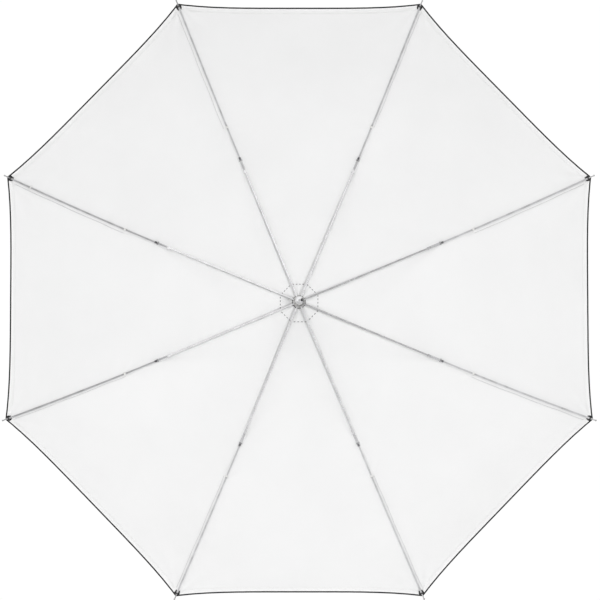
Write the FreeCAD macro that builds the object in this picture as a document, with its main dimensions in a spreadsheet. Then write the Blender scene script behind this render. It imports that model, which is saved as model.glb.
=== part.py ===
"""Eight-rib umbrella reflector with a white canopy and a black backing cover.

The shaft runs along Y. The white, hollow side faces -Y and the cap is at the +Y end.
The origin is the middle of the shaft's plain grip stretch, and +Z is up.
Sizes are in millimetres and angles in degrees.
"""
import FreeCAD, Part
import math
import os
from FreeCAD import Placement, Rotation, Vector

SIZES = {
    # shaft
    "tube_radius": 5.0,
    "tube_bore_radius": 4.4,
    "grip_length": 100.0,
    "bead_radius": 0.9,
    "bead_sink": 0.1,
    "tube_above_notch": 13.0,
    "plug_radius": 4.9,
    "plug_stem_radius": 4.38,
    "plug_stem_length": 9.0,
    "plug_length": 3.0,
    "plug_dome_radius": 6.5,
    "plug_dimple_radius": 1.8,
    "plug_dimple_depth": 1.0,
    # hub pieces: the notch holds the ribs and the runner's crown holds the stretchers
    "notch_station": 576.0,
    "pivot_circle_radius": 8.6,
    "ring_wire_radius": 0.65,
    "ring_groove_radius": 0.67,
    "crown_radius": 9.8,
    "crown_half_height": 3.0,
    "crown_lid_low": 2.1,
    "crown_lid_top": 3.3,
    "slot_width": 2.2,
    "slot_floor_radius": 6.4,
    "sleeve_radius": 6.2,
    "notch_sleeve_length": 11.0,
    "notch_bore_radius": 5.02,
    "runner_bore_radius": 5.06,
    "runner_below_pivot": 17.0,
    "runner_above_pivot": 6.5,
    "pin_radius": 0.8,
    "pin_hole_radius": 0.81,
    "pin_drop": 8.0,
    # outer end: fabric disc, rosette washer and cap
    "washer_bore_radius": 5.03,
    "hub_disc_radius": 10.4,
    "hub_disc_low": 3.4,
    "hub_disc_thickness": 0.5,
    "rosette_radius": 12.0,
    "rosette_thickness": 0.8,
    "cap_radius": 7.0,
    "cap_length": 14.0,
    "cap_bore_depth": 9.0,
    "cap_dome_radius": 9.0,
    # ribs
    "rib_count": 8,
    "rib_arc_radius": 1099.0,
    "rib_start_slope": 10.0,
    "rib_arc_length": 533.0,
    "rib_width": 2.6,
    "rib_depth": 3.0,
    "channel_wall": 0.45,
    "rib_channel_start": 8.0,
    "tongue_width": 1.6,
    "rib_tongue_length": 12.0,
    "rib_tongue_depth": 2.6,
    "rib_eye_radius": 1.7,
    "wire_hole_radius": 0.72,
    "tip_ferrule_length": 4.0,
    "tip_root_radius": 1.25,
    "tip_neck_radius": 0.8,
    "tip_cone_length": 10.0,
    "tip_ball_radius": 1.4,
    # stretchers
    "joint_arc_length": 251.6,
    "stretcher_width": 2.2,
    "stretcher_depth": 2.6,
    "hook_radius": 1.6,
    "hook_mouth_radius": 0.75,
    "shank_low": -2.4,
    "shank_top": -0.8,
    "shank_length": 22.0,
    "stretcher_channel_start": 18.0,
    "ear_length": 18.0,
    "ear_root_length": 24.0,
    "ear_inner": 1.45,
    "ear_outer": 2.0,
    "ear_end_radius": 1.4,
    "ear_hole_radius": 0.76,
    "rivet_radius": 0.7,
    "rivet_hole_radius": 0.72,
    "rivet_head_radius": 1.2,
    "rivet_head_inner": 2.05,
    "rivet_head_outer": 2.55,
    # canopy and cover: each of eight pieces spans from mid-panel to mid-panel over one rib
    "panel_arc_radius": 981.4,
    "panel_start_slope": 11.0,
    "panel_end_slope": 40.4,
    "panel_hole_apothem": 11.6,
    "panel_half_width": 210.0,
    "panel_gap": 0.5,
    "canopy_offset": 2.5,
    "canopy_thickness": 0.5,
    "cover_offset": 3.3,
    # spring catch that holds the runner up
    "catch_angle": 90.0,
    "catch_gap": 0.3,
    "catch_nose_length": 8.0,
    "catch_nose_radius": 7.2,
    "catch_leaf_length": 30.0,
    "catch_leaf_inner": 2.8,
    "catch_leaf_outer": 3.6,
    "catch_width": 1.4,
    "catch_anchor_outer": 4.3,
    "catch_anchor_length": 4.0,
    "catch_slot_width": 1.9,
    "catch_slot_margin": 0.6,
}

X_AXIS = Vector(1, 0, 0)
Y_AXIS = Vector(0, 1, 0)
Z_AXIS = Vector(0, 0, 1)
CUT_SPARE = 1.0      # how far a cutting solid runs past the face it cuts
CUT_TURN = 1.0       # the same, in degrees, for a cutting solid that is bent to an arc

doc = FreeCAD.newDocument("umbrella_reflector")
sheet = doc.addObject("Spreadsheet::Sheet", "Sizes")
for row, (alias, number) in enumerate(SIZES.items(), start=1):
    sheet.set(f"A{row}", alias)
    sheet.set(f"B{row}", str(number))
    sheet.setAlias(f"B{row}", alias)
doc.recompute()

nodes = []


def size(alias):
    """The number in the sheet's cell of that name."""
    return float(sheet.get(alias))


# ---------------------------------------------------------------- building blocks
def solid(kind, name, place=None, **dimensions):
    """A Part primitive. A dimension is a number, or an expression on the sheet."""
    item = doc.addObject(kind, name)
    for key, dimension in dimensions.items():
        if isinstance(dimension, str):
            item.setExpression(key, dimension)
        else:
            setattr(item, key, dimension)
    if place is not None:
        item.Placement = place
    return item


def fuse(name, *pieces):
    item = doc.addObject("Part::MultiFuse", name)
    item.Shapes = list(pieces)
    return item


def cut(name, base, *tools):
    item = doc.addObject("Part::Cut", name)
    item.Base = base
    item.Tool = tools[0] if len(tools) == 1 else fuse(name + "_tools", *tools)
    return item


def common(name, first, second):
    item = doc.addObject("Part::Common", name)
    item.Base = first
    item.Tool = second
    return item


def node(item, label, place=None):
    """Names a finished sub-part and puts it where it sits."""
    item.Label = label
    if place is not None:
        item.Placement = place
    nodes.append(item)


def along_shaft(station, angle=0.0):
    """The placement of a solid whose own Z axis becomes +Y, starting at station."""
    return Placement(Vector(0, station, 0), Rotation(Y_AXIS, -angle) * Rotation(X_AXIS, -90))


def round_the_shaft(angle, offset=Vector(), spin=Rotation()):
    """A placement in the half-plane at angle: X is outwards, Y along the shaft."""
    turn = Rotation(Y_AXIS, -angle)
    return Placement(turn.multVec(offset), turn * spin)


def rod(name, station, **dimensions):
    """A cylinder along the shaft's axis, from station towards +Y."""
    return solid("Part::Cylinder", name, along_shaft(station), **dimensions)


def box(name, low, high, angle=None):
    """A box between two corners, turned round the shaft if an angle is given."""
    extent = high - low
    place = Placement(low, Rotation()) if angle is None else round_the_shaft(angle, low)
    return solid("Part::Box", name, place, Length=extent.x, Width=extent.y, Height=extent.z)


def cross_rod(name, centre, half_length, radius):
    """A cylinder along Z through a point of the XY plane."""
    place = Placement(Vector(centre.x, centre.y, -half_length), Rotation())
    return solid("Part::Cylinder", name, place, Radius=radius, Height=2 * half_length)


def bent_bar(name, centre, outer, inner, half_width, start, sweep):
    """A bar of rectangular section bent to an arc round a Z axis through centre."""
    place = Placement(Vector(centre.x, centre.y, -half_width), Rotation(Z_AXIS, start))
    width = 2 * half_width
    whole = solid("Part::Cylinder", name + "_outer", place, Radius=outer, Height=width, Angle=sweep)
    core = solid("Part::Cylinder", name + "_inner", place, Radius=inner, Height=width, Angle=sweep)
    return cut(name, whole, core)


def ring_of_slots(name, station, low, high):
    """One radial slot for each rib, between two levels about station."""
    half = size("slot_width") / 2
    slots = []
    for angle in rib_angles():
        near = Vector(size("slot_floor_radius"), station + low, -half)
        far = Vector(size("crown_radius") + CUT_SPARE, station + high, half)
        slots.append(box(f"{name}_slot_{angle:.0f}", near, far, angle))
    return slots


def rib_angles():
    """The ribs' directions, with a flat side of the octagon on top."""
    step = 360.0 / size("rib_count")
    return [step * (turn + 0.5) for turn in range(int(size("rib_count")))]


# ---------------------------------------------------------------- derived geometry
def rib_centre():
    """The centre of the rib's arc, in the rib's plane, with the notch pivot at y = 0."""
    slope = math.radians(size("rib_start_slope"))
    bend = size("rib_arc_radius")
    return Vector(size("pivot_circle_radius") - bend * math.sin(slope), -bend * math.cos(slope), 0)


def rib_point(arc_length):
    """The point of the rib's centre line at a distance along it from the pivot."""
    slope = math.radians(size("rib_start_slope")) + arc_length / size("rib_arc_radius")
    reach = size("rib_arc_radius")
    return rib_centre() + Vector(reach * math.sin(slope), reach * math.cos(slope), 0)


def rib_slope(arc_length):
    """The rib's slope towards -Y at that point."""
    return size("rib_start_slope") + math.degrees(arc_length / size("rib_arc_radius"))


NOTCH = size("notch_station")
PIVOT = Vector(size("pivot_circle_radius"), 0, 0)
JOINT = rib_point(size("joint_arc_length"))
STRETCHER_LENGTH = (JOINT - PIVOT).Length
RUNNER_PIVOT = Vector(PIVOT.x, 2 * JOINT.y, 0)
STRETCHER_LEAN = math.degrees(math.atan2(JOINT.y - RUNNER_PIVOT.y, JOINT.x - RUNNER_PIVOT.x))
RUNNER = NOTCH + RUNNER_PIVOT.y
RUNNER_FOOT = RUNNER - size("runner_below_pivot")
CATCH_FACE = RUNNER_FOOT - size("catch_gap")


# ---------------------------------------------------------------- shaft
def make_shaft_tube():
    half_grip = size("grip_length") / 2
    top = NOTCH + size("tube_above_notch")
    outer = rod("tube_outer", -half_grip, Radius="Sizes.tube_radius", Height=top + half_grip)
    bead = solid("Part::Torus", "tube_bead", along_shaft(half_grip + size("bead_radius")),
                 Radius1="Sizes.tube_radius - Sizes.bead_sink", Radius2="Sizes.bead_radius")
    bore = rod("tube_bore", -half_grip - CUT_SPARE,
               Radius="Sizes.tube_bore_radius", Height=top + half_grip + 2 * CUT_SPARE)
    slot_low = Vector(0, CATCH_FACE - size("catch_nose_length") - size("catch_slot_margin"),
                      -size("catch_slot_width") / 2)
    slot_high = Vector(size("tube_radius") + CUT_SPARE, CATCH_FACE + size("catch_slot_margin"),
                       size("catch_slot_width") / 2)
    slot = box("tube_catch_slot", slot_low, slot_high, size("catch_angle"))
    pin_hole = solid("Part::Cylinder", "tube_pin_hole", pin_place(), Radius="Sizes.pin_hole_radius",
                     Height="2 * Sizes.sleeve_radius")
    node(cut("tube_shape", fuse("tube_blank", outer, bead), bore, slot, pin_hole), "shaft_tube")


def pin_place():
    """The placement of the cross pin that holds the notch on the tube."""
    return Placement(Vector(-size("sleeve_radius"), NOTCH - size("pin_drop"), 0), Rotation(Y_AXIS, 90))


def make_end_plug():
    face = -size("grip_length") / 2
    foot = face - size("plug_length")
    body = rod("plug_body", foot, Radius="Sizes.plug_radius", Height="Sizes.plug_length")
    dome = solid("Part::Sphere", "plug_dome", along_shaft(foot + size("plug_dome_radius")),
                 Radius="Sizes.plug_dome_radius")
    stem = rod("plug_stem", face - size("plug_length") / 2, Radius="Sizes.plug_stem_radius",
               Height="Sizes.plug_stem_length")
    dimple = rod("plug_dimple", foot - CUT_SPARE, Radius="Sizes.plug_dimple_radius",
                 Height=f"Sizes.plug_dimple_depth + {CUT_SPARE}")
    blank = fuse("plug_blank", common("plug_head", body, dome), stem)
    node(cut("plug_shape", blank, dimple), "shaft_end_plug")


def make_cap():
    low = NOTCH + size("hub_disc_low") + size("hub_disc_thickness") + size("rosette_thickness")
    body = rod("cap_body", low, Radius="Sizes.cap_radius", Height="Sizes.cap_length")
    dome = solid("Part::Sphere", "cap_dome", along_shaft(low + size("cap_length") - size("cap_dome_radius")),
                 Radius="Sizes.cap_dome_radius")
    skirt = rod("cap_skirt", low, Radius="Sizes.cap_radius", Height="Sizes.cap_length / 2")
    bore = rod("cap_bore", low - CUT_SPARE, Radius="Sizes.washer_bore_radius",
               Height=f"Sizes.cap_bore_depth + {CUT_SPARE}")
    node(cut("cap_shape", fuse("cap_blank", common("cap_head", body, dome), skirt), bore), "top_cap")


def make_washer(label, station, radius, thickness):
    """A flat ring round the tube."""
    disc = rod(label + "_disc", station, Radius=radius, Height=thickness)
    bore = rod(label + "_bore", station - CUT_SPARE, Radius="Sizes.washer_bore_radius",
               Height=f"{thickness} + {2 * CUT_SPARE}")
    node(cut(label + "_shape", disc, bore), label)


def make_open_catch():
    """A leaf inside the tube whose nose stands out of a slot, just below the open runner."""
    half = size("catch_width") / 2
    tail = CATCH_FACE - size("catch_leaf_length")
    inner = size("catch_leaf_inner")
    outer = size("catch_leaf_outer")
    leaf = box("catch_leaf", Vector(inner, tail, -half), Vector(outer, CATCH_FACE, half))
    anchor = box("catch_anchor", Vector(inner, tail, -half),
                 Vector(size("catch_anchor_outer"), tail + size("catch_anchor_length"), half))
    nose = solid("Part::Wedge", "catch_nose",
                 Xmin=inner, Xmax=outer, Zmin=-half, Zmax=half,
                 X2min=inner, X2max="Sizes.catch_nose_radius", Z2min=-half, Z2max=half,
                 Ymin=CATCH_FACE - size("catch_nose_length"), Ymax=CATCH_FACE)
    node(fuse("catch_shape", leaf, anchor, nose), "open_catch", round_the_shaft(size("catch_angle")))


# ---------------------------------------------------------------- notch and runner
def ring_groove(name, station):
    """The round channel in a crown that its ring wire lies in."""
    return solid("Part::Torus", name, along_shaft(station),
                 Radius1="Sizes.pivot_circle_radius", Radius2="Sizes.ring_groove_radius")


def make_notch():
    low = -size("crown_half_height")
    disc = rod("notch_disc", NOTCH + low, Radius="Sizes.crown_radius",
               Height="Sizes.crown_half_height + Sizes.crown_lid_top")
    sleeve = rod("notch_sleeve", NOTCH - size("notch_sleeve_length"), Radius="Sizes.sleeve_radius",
                 Height="Sizes.notch_sleeve_length")
    bore = rod("notch_bore", NOTCH - size("notch_sleeve_length") - CUT_SPARE,
               Radius="Sizes.notch_bore_radius",
               Height=f"Sizes.notch_sleeve_length + Sizes.crown_lid_top + {2 * CUT_SPARE}")
    pin_hole = solid("Part::Cylinder", "notch_pin_hole", pin_place(), Radius="Sizes.pin_hole_radius",
                     Height="2 * Sizes.sleeve_radius")
    slots = ring_of_slots("notch", NOTCH, low - CUT_SPARE, size("crown_lid_low"))
    groove = ring_groove("notch_groove", NOTCH)
    node(cut("notch_shape", fuse("notch_blank", disc, sleeve), bore, pin_hole, groove, *slots), "notch")


def make_notch_pin():
    pin = solid("Part::Cylinder", "notch_pin_rod", pin_place(), Radius="Sizes.pin_radius",
                Height="2 * Sizes.sleeve_radius")
    node(pin, "notch_pin")


def make_runner():
    low = -size("crown_half_height")
    crown = rod("runner_crown", RUNNER + low, Radius="Sizes.crown_radius",
                Height="2 * Sizes.crown_half_height")
    sleeve = rod("runner_sleeve", RUNNER_FOOT, Radius="Sizes.sleeve_radius",
                 Height="Sizes.runner_below_pivot + Sizes.runner_above_pivot")
    bore = rod("runner_bore", RUNNER_FOOT - CUT_SPARE, Radius="Sizes.runner_bore_radius",
               Height=f"Sizes.runner_below_pivot + Sizes.runner_above_pivot + {2 * CUT_SPARE}")
    slots = ring_of_slots("runner", RUNNER, low - CUT_SPARE, size("crown_half_height") + CUT_SPARE)
    groove = ring_groove("runner_groove", RUNNER)
    node(cut("runner_shape", fuse("runner_blank", crown, sleeve), bore, groove, *slots), "runner")


def make_ring_wire(label, station):
    wire = solid("Part::Torus", label + "_wire", along_shaft(station),
                 Radius1="Sizes.pivot_circle_radius", Radius2="Sizes.ring_wire_radius")
    node(wire, label)


# ---------------------------------------------------------------- ribs
def make_rib(number, angle):
    """A channel bent to an arc, open towards -Y, with a flat eye at the notch."""
    name = f"rib_{number}"
    bend = size("rib_arc_radius")
    depth = size("rib_depth") / 2
    width = size("rib_width") / 2
    wall = size("channel_wall")
    sweep = math.degrees((size("rib_arc_length") - size("rib_channel_start")) / bend)
    start = 90 - rib_slope(size("rib_arc_length"))
    blank = bent_bar(name + "_bar", rib_centre(), bend + depth, bend - depth, width, start, sweep)
    hollow = bent_bar(name + "_hollow", rib_centre(), bend + depth - wall, bend - depth - CUT_SPARE,
                      width - wall, start - CUT_TURN, sweep + 2 * CUT_TURN)
    channel = cut(name + "_channel", blank, hollow)
    tongue_half = size("rib_tongue_depth") / 2
    lean = Rotation(Z_AXIS, -size("rib_start_slope"))
    corner = PIVOT + lean.multVec(Vector(0, -tongue_half, -size("tongue_width") / 2))
    tongue = solid("Part::Box", name + "_tongue", Placement(corner, lean), Length="Sizes.rib_tongue_length",
                   Width="Sizes.rib_tongue_depth", Height="Sizes.tongue_width")
    eye = cross_rod(name + "_eye", PIVOT, size("tongue_width") / 2, "Sizes.rib_eye_radius")
    wire_hole = cross_rod(name + "_wire_hole", PIVOT, width, "Sizes.wire_hole_radius")
    rivet_hole = cross_rod(name + "_rivet_hole", JOINT, width + CUT_SPARE, "Sizes.rivet_hole_radius")
    body = fuse(name + "_body", channel, tongue, eye)
    node(cut(name + "_shape", body, wire_hole, rivet_hole), name, at_rib(angle))


def make_rib_tip(number, angle):
    """A drawn metal tip with a small ball, in line with the rib's end."""
    name = f"rib_tip_{number}"
    end = rib_point(size("rib_arc_length"))
    direction = Rotation(Z_AXIS, -rib_slope(size("rib_arc_length")))
    outwards = Placement(end, direction * Rotation(Y_AXIS, 90))
    half = Vector(0, size("rib_depth") / 2, size("rib_width") / 2)
    ferrule = solid("Part::Box", name + "_ferrule", Placement(end - direction.multVec(half), direction),
                    Length="Sizes.tip_ferrule_length", Width="Sizes.rib_depth", Height="Sizes.rib_width")
    cone_start = outwards.multiply(Placement(Vector(0, 0, size("tip_ferrule_length")), Rotation()))
    cone = solid("Part::Cone", name + "_cone", cone_start, Radius1="Sizes.tip_root_radius",
                 Radius2="Sizes.tip_neck_radius", Height="Sizes.tip_cone_length")
    ball_start = outwards.multVec(Vector(0, 0, size("tip_ferrule_length") + size("tip_cone_length")))
    ball = solid("Part::Sphere", name + "_ball", Placement(ball_start, Rotation()),
                 Radius="Sizes.tip_ball_radius")
    node(fuse(name + "_shape", ferrule, cone, ball), name, at_rib(angle))


def make_rivet(number, angle):
    """The cross pin that joins a stretcher's two ears to its rib."""
    name = f"rivet_{number}"
    inner = size("rivet_head_inner")
    outer = size("rivet_head_outer")
    shank = cross_rod(name + "_shank", JOINT, outer, "Sizes.rivet_radius")
    heads = cross_rod(name + "_heads", JOINT, outer, "Sizes.rivet_head_radius")
    waist = cross_rod(name + "_waist", JOINT, inner, f"Sizes.rivet_head_radius + {CUT_SPARE}")
    node(fuse(name + "_shape", shank, cut(name + "_head_pair", heads, waist)), name, at_rib(angle))


def at_rib(angle):
    """The placement of anything drawn in a rib's own plane, from the notch pivot's level."""
    return round_the_shaft(angle, Vector(0, NOTCH, 0))


# ---------------------------------------------------------------- stretchers
def make_stretcher(number, angle):
    """A straight channel: a hook round the runner's wire, and two ears that hold the rib."""
    name = f"stretcher_{number}"
    half_tongue = size("tongue_width") / 2
    half_width = size("stretcher_width") / 2
    half_depth = size("stretcher_depth") / 2
    wall = size("channel_wall")
    reach = STRETCHER_LENGTH
    origin = Vector()
    end = Vector(reach, 0, 0)

    hook_ring = cross_rod(name + "_hook_ring", origin, half_tongue, "Sizes.hook_radius")
    hook_hole = cross_rod(name + "_hook_hole", origin, half_tongue, "Sizes.hook_mouth_radius")
    mouth = box(name + "_mouth", Vector(0, size("shank_top"), -half_width),
                Vector(2 * size("hook_radius"), 2 * size("hook_radius"), half_width))
    hook = cut(name + "_hook", hook_ring, hook_hole, mouth)
    shank = box(name + "_shank", Vector(0, size("shank_low"), -half_tongue),
                Vector(size("shank_length"), size("shank_top"), half_tongue))

    start = size("stretcher_channel_start")
    bar = box(name + "_bar", Vector(start, -half_depth, -half_width),
              Vector(reach - size("ear_length"), half_depth, half_width))
    hollow = box(name + "_hollow", Vector(start - CUT_SPARE, wall - half_depth, wall - half_width),
                 Vector(reach, half_depth + CUT_SPARE, half_width - wall))
    channel = cut(name + "_channel", bar, hollow)

    pieces = [hook, shank, channel]
    for side in (-1, 1):
        near, far = sorted((side * size("ear_inner"), side * size("ear_outer")))
        root_near, root_far = sorted((side * (half_width - wall / 2), side * size("ear_outer")))
        pieces.append(box(f"{name}_ear_{near:.0f}", Vector(reach - size("ear_length"), -half_depth, near),
                          Vector(reach, half_depth, far)))
        pieces.append(box(f"{name}_ear_root_{near:.0f}",
                          Vector(reach - size("ear_root_length"), -half_depth, root_near),
                          Vector(reach - size("ear_length"), half_depth, root_far)))
        round_place = Placement(Vector(reach, 0, near), Rotation())
        pieces.append(solid("Part::Cylinder", f"{name}_ear_end_{near:.0f}", round_place,
                            Radius="Sizes.ear_end_radius", Height=far - near))
    pivot_hole = cross_rod(name + "_pivot_hole", end, size("ear_outer") + CUT_SPARE, "Sizes.ear_hole_radius")
    place = round_the_shaft(angle, RUNNER_PIVOT + Vector(0, NOTCH, 0), Rotation(Z_AXIS, STRETCHER_LEAN))
    node(cut(name + "_shape", fuse(name + "_body", *pieces), pivot_hole), name, place)


# ---------------------------------------------------------------- canopy and cover
def make_panel_piece(label, angle, offset, thickness):
    """One rib's share of a fabric layer: two half panels that meet in a ridge over the rib.

    Each panel is bent only along its length, so its rim is straight from rib tip to rib tip.
    """
    half_step = 180.0 / size("rib_count")
    slope = math.radians(size("panel_start_slope"))
    bend = size("panel_arc_radius")
    lift = offset - size("canopy_offset")
    first = rib_centre() + (PIVOT - rib_centre()) * (1 + size("canopy_offset") / size("rib_arc_radius"))
    centre = Vector(first.x * math.cos(math.radians(half_step)) - bend * math.sin(slope),
                    first.y - bend * math.cos(slope), 0)
    low = 90 - size("panel_end_slope")
    high = math.degrees(math.acos((size("panel_hole_apothem") - centre.x) / bend))
    half = size("panel_half_width") / 2
    strip = bent_bar(label + "_strip", centre, bend + lift + thickness, bend + lift, half, low, high - low)
    shift = Vector(0, 0, -half - size("panel_gap") / 2)
    turn = Rotation(Y_AXIS, -half_step)
    strip.Placement = Placement(turn.multVec(shift), turn)
    reach = size("rib_arc_length") + size("panel_half_width")
    wedge = solid("Part::Cylinder", label + "_wedge", along_shaft(-reach, 2 * half_step),
                  Radius=reach, Height=2 * reach, Angle=2 * half_step)
    side = common(label + "_side", strip, wedge)
    other = doc.addObject("Part::Mirroring", label + "_other_side")
    other.Source = side
    other.Normal = Z_AXIS
    node(fuse(label + "_shape", side, other), label, at_rib(angle))


# ---------------------------------------------------------------- the whole object
def build():
    make_shaft_tube()
    make_end_plug()
    make_notch()
    make_notch_pin()
    make_ring_wire("notch_ring", NOTCH)
    make_washer("canopy_hub_disc", NOTCH + size("hub_disc_low"), "Sizes.hub_disc_radius",
                "Sizes.hub_disc_thickness")
    make_washer("cap_rosette", NOTCH + size("hub_disc_low") + size("hub_disc_thickness"),
                "Sizes.rosette_radius", "Sizes.rosette_thickness")
    make_cap()
    make_open_catch()
    make_runner()
    make_ring_wire("runner_ring", RUNNER)
    for number, angle in enumerate(rib_angles(), start=1):
        make_rib(number, angle)
        make_rib_tip(number, angle)
        make_rivet(number, angle)
        make_stretcher(number, angle)
        make_panel_piece(f"canopy_{number}", angle, size("canopy_offset"), size("canopy_thickness"))
        make_panel_piece(f"cover_{number}", angle, size("cover_offset"), size("canopy_thickness"))
    doc.recompute()


def check_and_write():
    """Stops on a failed object, and otherwise writes each sub-part to its own STEP file."""
    for item in doc.Objects:
        if "Invalid" in item.State or "Error" in item.State:
            raise RuntimeError(f"{item.Name} failed: {item.State}")
    os.makedirs("parts", exist_ok=True)
    for item in nodes:
        shape = item.Shape
        if shape.isNull() or not shape.isValid() or not shape.Solids:
            raise RuntimeError(f"{item.Label} has no valid solid")
        shape.exportStep(f"parts/{item.Label}.step")
        print(f"{item.Label}: {len(shape.Solids)} solid, {shape.Volume:.1f} mm3")


build()
check_and_write()
print(f"runner pivot {RUNNER:.3f}, stretcher {STRETCHER_LENGTH:.3f}, lean {STRETCHER_LEAN:.3f}")
print(f"joint at radius {JOINT.x:.3f}, level {NOTCH + JOINT.y:.3f}, catch face {CATCH_FACE:.3f}")
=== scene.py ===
"""Looks of the umbrella reflector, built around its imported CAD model. Metres, +Z up.

The shaft runs along Y and the hollow white side faces -Y. A rib's own frame has x outwards from
the shaft, y along the shaft from the ribs' pivot level, and z round the shaft.
"""
import bpy
import math
import numpy as np
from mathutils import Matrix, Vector


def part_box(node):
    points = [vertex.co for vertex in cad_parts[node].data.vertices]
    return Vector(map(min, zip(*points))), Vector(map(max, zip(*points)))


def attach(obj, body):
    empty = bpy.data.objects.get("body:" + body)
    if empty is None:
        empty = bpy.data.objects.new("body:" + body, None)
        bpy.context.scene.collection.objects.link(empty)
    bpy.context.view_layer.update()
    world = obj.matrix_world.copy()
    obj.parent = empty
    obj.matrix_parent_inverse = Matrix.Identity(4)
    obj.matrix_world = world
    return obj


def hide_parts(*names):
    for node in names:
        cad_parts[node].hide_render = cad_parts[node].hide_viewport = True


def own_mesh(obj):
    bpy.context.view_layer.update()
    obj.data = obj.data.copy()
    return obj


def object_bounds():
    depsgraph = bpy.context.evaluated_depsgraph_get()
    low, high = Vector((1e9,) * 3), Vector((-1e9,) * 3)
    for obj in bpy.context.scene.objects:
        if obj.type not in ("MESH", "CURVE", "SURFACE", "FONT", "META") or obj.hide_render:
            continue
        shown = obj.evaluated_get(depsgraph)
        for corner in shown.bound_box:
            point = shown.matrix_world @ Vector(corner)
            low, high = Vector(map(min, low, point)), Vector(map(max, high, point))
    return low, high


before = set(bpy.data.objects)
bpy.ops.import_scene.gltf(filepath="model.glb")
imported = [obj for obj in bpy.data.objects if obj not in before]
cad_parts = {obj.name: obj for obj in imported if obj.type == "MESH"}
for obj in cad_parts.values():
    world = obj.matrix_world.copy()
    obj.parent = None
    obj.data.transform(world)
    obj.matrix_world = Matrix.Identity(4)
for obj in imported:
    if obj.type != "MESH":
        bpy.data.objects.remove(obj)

cad_box = [list(corner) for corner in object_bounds()]

# ---------------------------------------------------------------- sizes
RIBS = 8
HALF_STEP = math.pi / RIBS
PIVOT_RADIUS = 0.0086
RIB_ARC_RADIUS = 1.099
RIB_START_SLOPE = math.radians(10.0)
RIB_HALF_WIDTH = 0.0013
RIB_HALF_DEPTH = 0.0015
JOINT_RADIUS = 0.24924      # where a stretcher is riveted to its rib, from the shaft's axis
CORNER_RADIUS = 0.4944      # the cloth's corners, from the shaft's axis
CLOTH_HOLE = 0.0112
TIE_RADIUS = 0.306          # where thread ties the cloth's seam to each rib
OUTER_TIE_RADIUS = 0.462
STITCH_RING_APOTHEM = 0.0305
STITCH_RING_DROP = 0.0018   # the ring of stitches is sewn a little low

POCKET_LENGTH = 0.0052      # the black pockets at the corners, which hold the ribs' tips
POCKET_SLEEVE = 0.0019

WHITE_LIFT = 0.00165        # cloth above the rib's centre line, where it lies on the rib's back
WHITE_THICKNESS = 0.00025
BLACK_LIFT = 0.00245
BLACK_THICKNESS = 0.0003
PANEL_SAG = 0.0055          # how far a panel's middle is drawn in by its tension
RIM_PULL = 0.0054           # how far the middle of a rim edge is drawn towards the hub
COVER_MARGIN = 0.0016       # the cover's edge beyond the canopy's
FLAT_WIDTH_SPARE = 1.05     # a flat cut's width and length, as shares of the sewn ones
FLAT_LENGTH_SPARE = 1.02

WIDE_SEAM = 0.0058
NARROW_SEAM = 0.0036
PLAIN_SEAM = 0.0028         # every seam's spare cloth from the hub to its tie
# The side that each rib's spare seam cloth is pressed to, and its width at the tie.
SEAMS = {
    1: (-1, WIDE_SEAM), 2: (-1, NARROW_SEAM), 3: (1, WIDE_SEAM), 4: (1, WIDE_SEAM),
    5: (1, NARROW_SEAM), 6: (-1, NARROW_SEAM), 7: (1, NARROW_SEAM), 8: (-1, WIDE_SEAM),
}
TRIM_THICKNESS = 0.0002
# Sections of the hem and its rolled edge: depth from the rim, and height off the cloth.
HEM_ROWS = ((0.0012, 0.0004), (0.0024, 0.0005), (0.0040, 0.0005), (0.0056, 0.0005), (0.0062, 0.0001))
EDGE_ROWS = ((-0.0002, 0.0002), (0.0001, 0.0007), (0.0008, 0.0009), (0.0016, 0.0008), (0.0022, 0.0003))
HEM_STITCH_ROWS = ((0.0049, 0.0007), (0.0050, 0.0007))

# Radii of threads and rolled edges.
HEM_THREAD = 0.00016
COVER_THREAD = 0.00014
HUB_THREAD = 0.0005
OVERLOCK = 0.0004
TIE_THREAD = 0.00036
TIE_END = 0.0003
BINDING = 0.0007

FOLD_TILT = 0.25            # how far the fold's axis leans outwards

# The cloth pulls unevenly, so the rim isn't quite a regular octagon. The rivets hold the ribs
# true as far as the stretchers, and the cloth bends them beyond that. These are the patterns'
# full sizes, and a tip that lies between two directions gets part of them.
TIPS_INWARDS = 0.0025       # all round
SIDES_INWARDS = 0.004       # left and right inwards, top and bottom outwards
TOP_OUTWARDS = 0.002        # top outwards, bottom inwards
SIDES_UPWARDS = 0.0055      # left and right upwards

pivot_low, pivot_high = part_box("notch_ring")
PIVOT_LEVEL = (pivot_low.y + pivot_high.y) / 2
ARC_X = PIVOT_RADIUS - RIB_ARC_RADIUS * math.sin(RIB_START_SLOPE)
ARC_Y = -RIB_ARC_RADIUS * math.cos(RIB_START_SLOPE)


# ---------------------------------------------------------------- rib geometry
# These work on single numbers and on arrays of them. Points are arrays with x, y, z last.
def rib_angle(number):
    return (2 * number - 1) * HALF_STEP


def to_world(number, x, y, z):
    """Points of rib number's own frame, in the row frame."""
    turn = rib_angle(number)
    c, s = math.cos(turn), math.sin(turn)
    x, y, z = np.broadcast_arrays(x, y, z)
    return np.stack((x * c - z * s, PIVOT_LEVEL + y, x * s + z * c), axis=-1)


def rib_level(x):
    """y of the rib's centre line at a distance x from the shaft's axis."""
    return ARC_Y + np.sqrt(RIB_ARC_RADIUS ** 2 - (x - ARC_X) ** 2)


def rib_slope(x):
    return np.arcsin((x - ARC_X) / RIB_ARC_RADIUS)


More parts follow.
